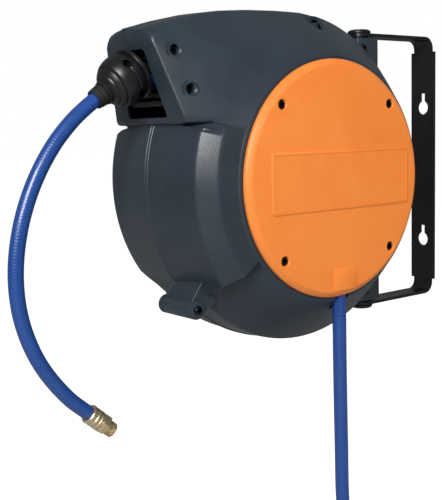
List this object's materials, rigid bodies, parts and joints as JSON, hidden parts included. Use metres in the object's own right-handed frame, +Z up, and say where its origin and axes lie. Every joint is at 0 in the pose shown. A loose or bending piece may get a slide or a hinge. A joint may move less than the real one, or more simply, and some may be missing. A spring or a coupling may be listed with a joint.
{
  "type": "compressed air hose reel",
  "caption": "Wall-mounted spring-rewind air hose reel: round case on a swivelling bracket, ball stop at the hose mouth, blue hoses with brass threaded ends.",
  "frame": {"origin": "on the wall plate's back face, midway between its two wall screws", "axes": "+X into the wall, +Z up, the round side cover faces -Y and the hose leaves the nose towards -X"},
  "size_m": [0.4708, 0.17, 0.6067],
  "materials": {
    "case_plastic": "fine moulded texture",
    "cover_plastic": "satin moulded",
    "black_plastic": "satin moulded",
    "black_painted_steel": "black powder coat",
    "zinc_steel": "zinc plated",
    "spring_steel": "oiled spring strip",
    "brass": "machined",
    "blue_hose": "translucent blue, fine braid under the skin",
    "white_nylon": "natural nylon",
    "rubber": "matt"
  },
  "bodies": {
    "bracket": {"wall_bracket": "black_painted_steel", "upper_pivot_pin": "black_painted_steel", "lower_pivot_pin": "black_painted_steel", "upper_pivot_washer": "black_plastic", "lower_pivot_washer": "black_plastic"},
    "case": {"axle": "zinc_steel", "axle_nut": "zinc_steel", "axle_washer": "zinc_steel", "case_screw_lower_front": "black_painted_steel", "case_screw_rear_lower": "black_painted_steel", "case_screw_rear_upper": "black_painted_steel", "case_screw_top": "black_painted_steel", "coil_tie": "black_plastic", "cover_screw_1": "black_painted_steel", "cover_screw_2": "black_painted_steel", "cover_screw_3": "black_painted_steel", "cover_screw_4": "black_painted_steel", "front_shell": "case_plastic", "inlet_ferrule": "brass", "inlet_hose": "blue_hose", "inlet_hose_coil": "blue_hose", "inlet_hose_inner": "blue_hose", "inlet_nipple": "brass", "inlet_nut": "brass", "main_spring": "spring_steel", "nose_screw_front_lower": "black_painted_steel", "nose_screw_front_upper": "black_painted_steel", "nose_screw_rear_lower": "black_painted_steel", "nose_screw_rear_upper": "black_painted_steel", "pawl_pin": "zinc_steel", "rear_shell": "case_plastic", "roller_guide": "black_plastic", "side_cover": "cover_plastic", "swivel_body": "brass", "swivel_seal": "rubber"},
    "drum": {"drum_hub": "case_plastic", "drum_front_flange": "black_plastic", "drum_rear_flange": "black_plastic", "wound_hose": "blue_hose", "front_bush": "white_nylon", "rear_bush": "white_nylon", "spring_cup": "zinc_steel", "spring_lid": "zinc_steel", "ratchet_ring": "white_nylon"},
    "hose_end": {"ball_stop_front_half": "black_plastic", "ball_stop_rear_half": "black_plastic", "ball_stop_screw_1": "black_painted_steel", "ball_stop_screw_2": "black_painted_steel", "hose_collar": "rubber", "hose_lead": "blue_hose", "outlet_hose": "blue_hose", "outlet_ferrule": "brass", "outlet_nipple": "brass"},
    "upper_roller": {"upper_roller": "black_plastic"},
    "lower_roller": {"lower_roller": "black_plastic"},
    "front_side_roller": {"front_side_roller": "black_plastic"},
    "rear_side_roller": {"rear_side_roller": "black_plastic"},
    "pawl": {"pawl": "black_plastic"}
  },
  "joints": [
    {"name": "case_swivel", "type": "hinge", "parent": "bracket", "child": "case", "pos_m": [-0.0965, 0, -0.00725], "axis": [0, 0, 1], "range_deg": [-90, 90]},
    {"name": "drum_spin", "type": "hinge", "parent": "case", "child": "drum", "pos_m": [-0.2055, 0, -0.00725], "axis": [0, -1, 0], "range_deg": [0, 80], "stiffness_Nm_per_rad": 0.3, "springref_deg": -171.89},
    {"name": "hose_pull", "type": "slide", "parent": "case", "child": "hose_end", "axis": [-1, 0, 0], "range_m": [0, 0.12]},
    {"name": "upper_roller_spin", "type": "hinge", "parent": "case", "child": "upper_roller", "pos_m": [-0.3345, 0, 0.08915], "axis": [0, 1, 0], "continuous": true},
    {"name": "lower_roller_spin", "type": "hinge", "parent": "case", "child": "lower_roller", "pos_m": [-0.3345, 0, 0.06635], "axis": [0, 1, 0], "continuous": true},
    {"name": "front_side_roller_spin", "type": "hinge", "parent": "case", "child": "front_side_roller", "pos_m": [-0.3225, -0.0114, 0.07775], "axis": [0, 0, 1], "continuous": true},
    {"name": "rear_side_roller_spin", "type": "hinge", "parent": "case", "child": "rear_side_roller", "pos_m": [-0.3225, 0.0114, 0.07775], "axis": [0, 0, 1], "continuous": true},
    {"name": "pawl_lift", "type": "hinge", "parent": "case", "child": "pawl", "pos_m": [-0.2555, -0.048, -0.03325], "axis": [0, 1, 0], "range_deg": [0, 25], "stiffness_Nm_per_rad": 0.02}
  ],
  "couplings": [
    {"joint": "hose_pull", "follows": "drum_spin", "m_per_rad": 0.085}
  ]
}
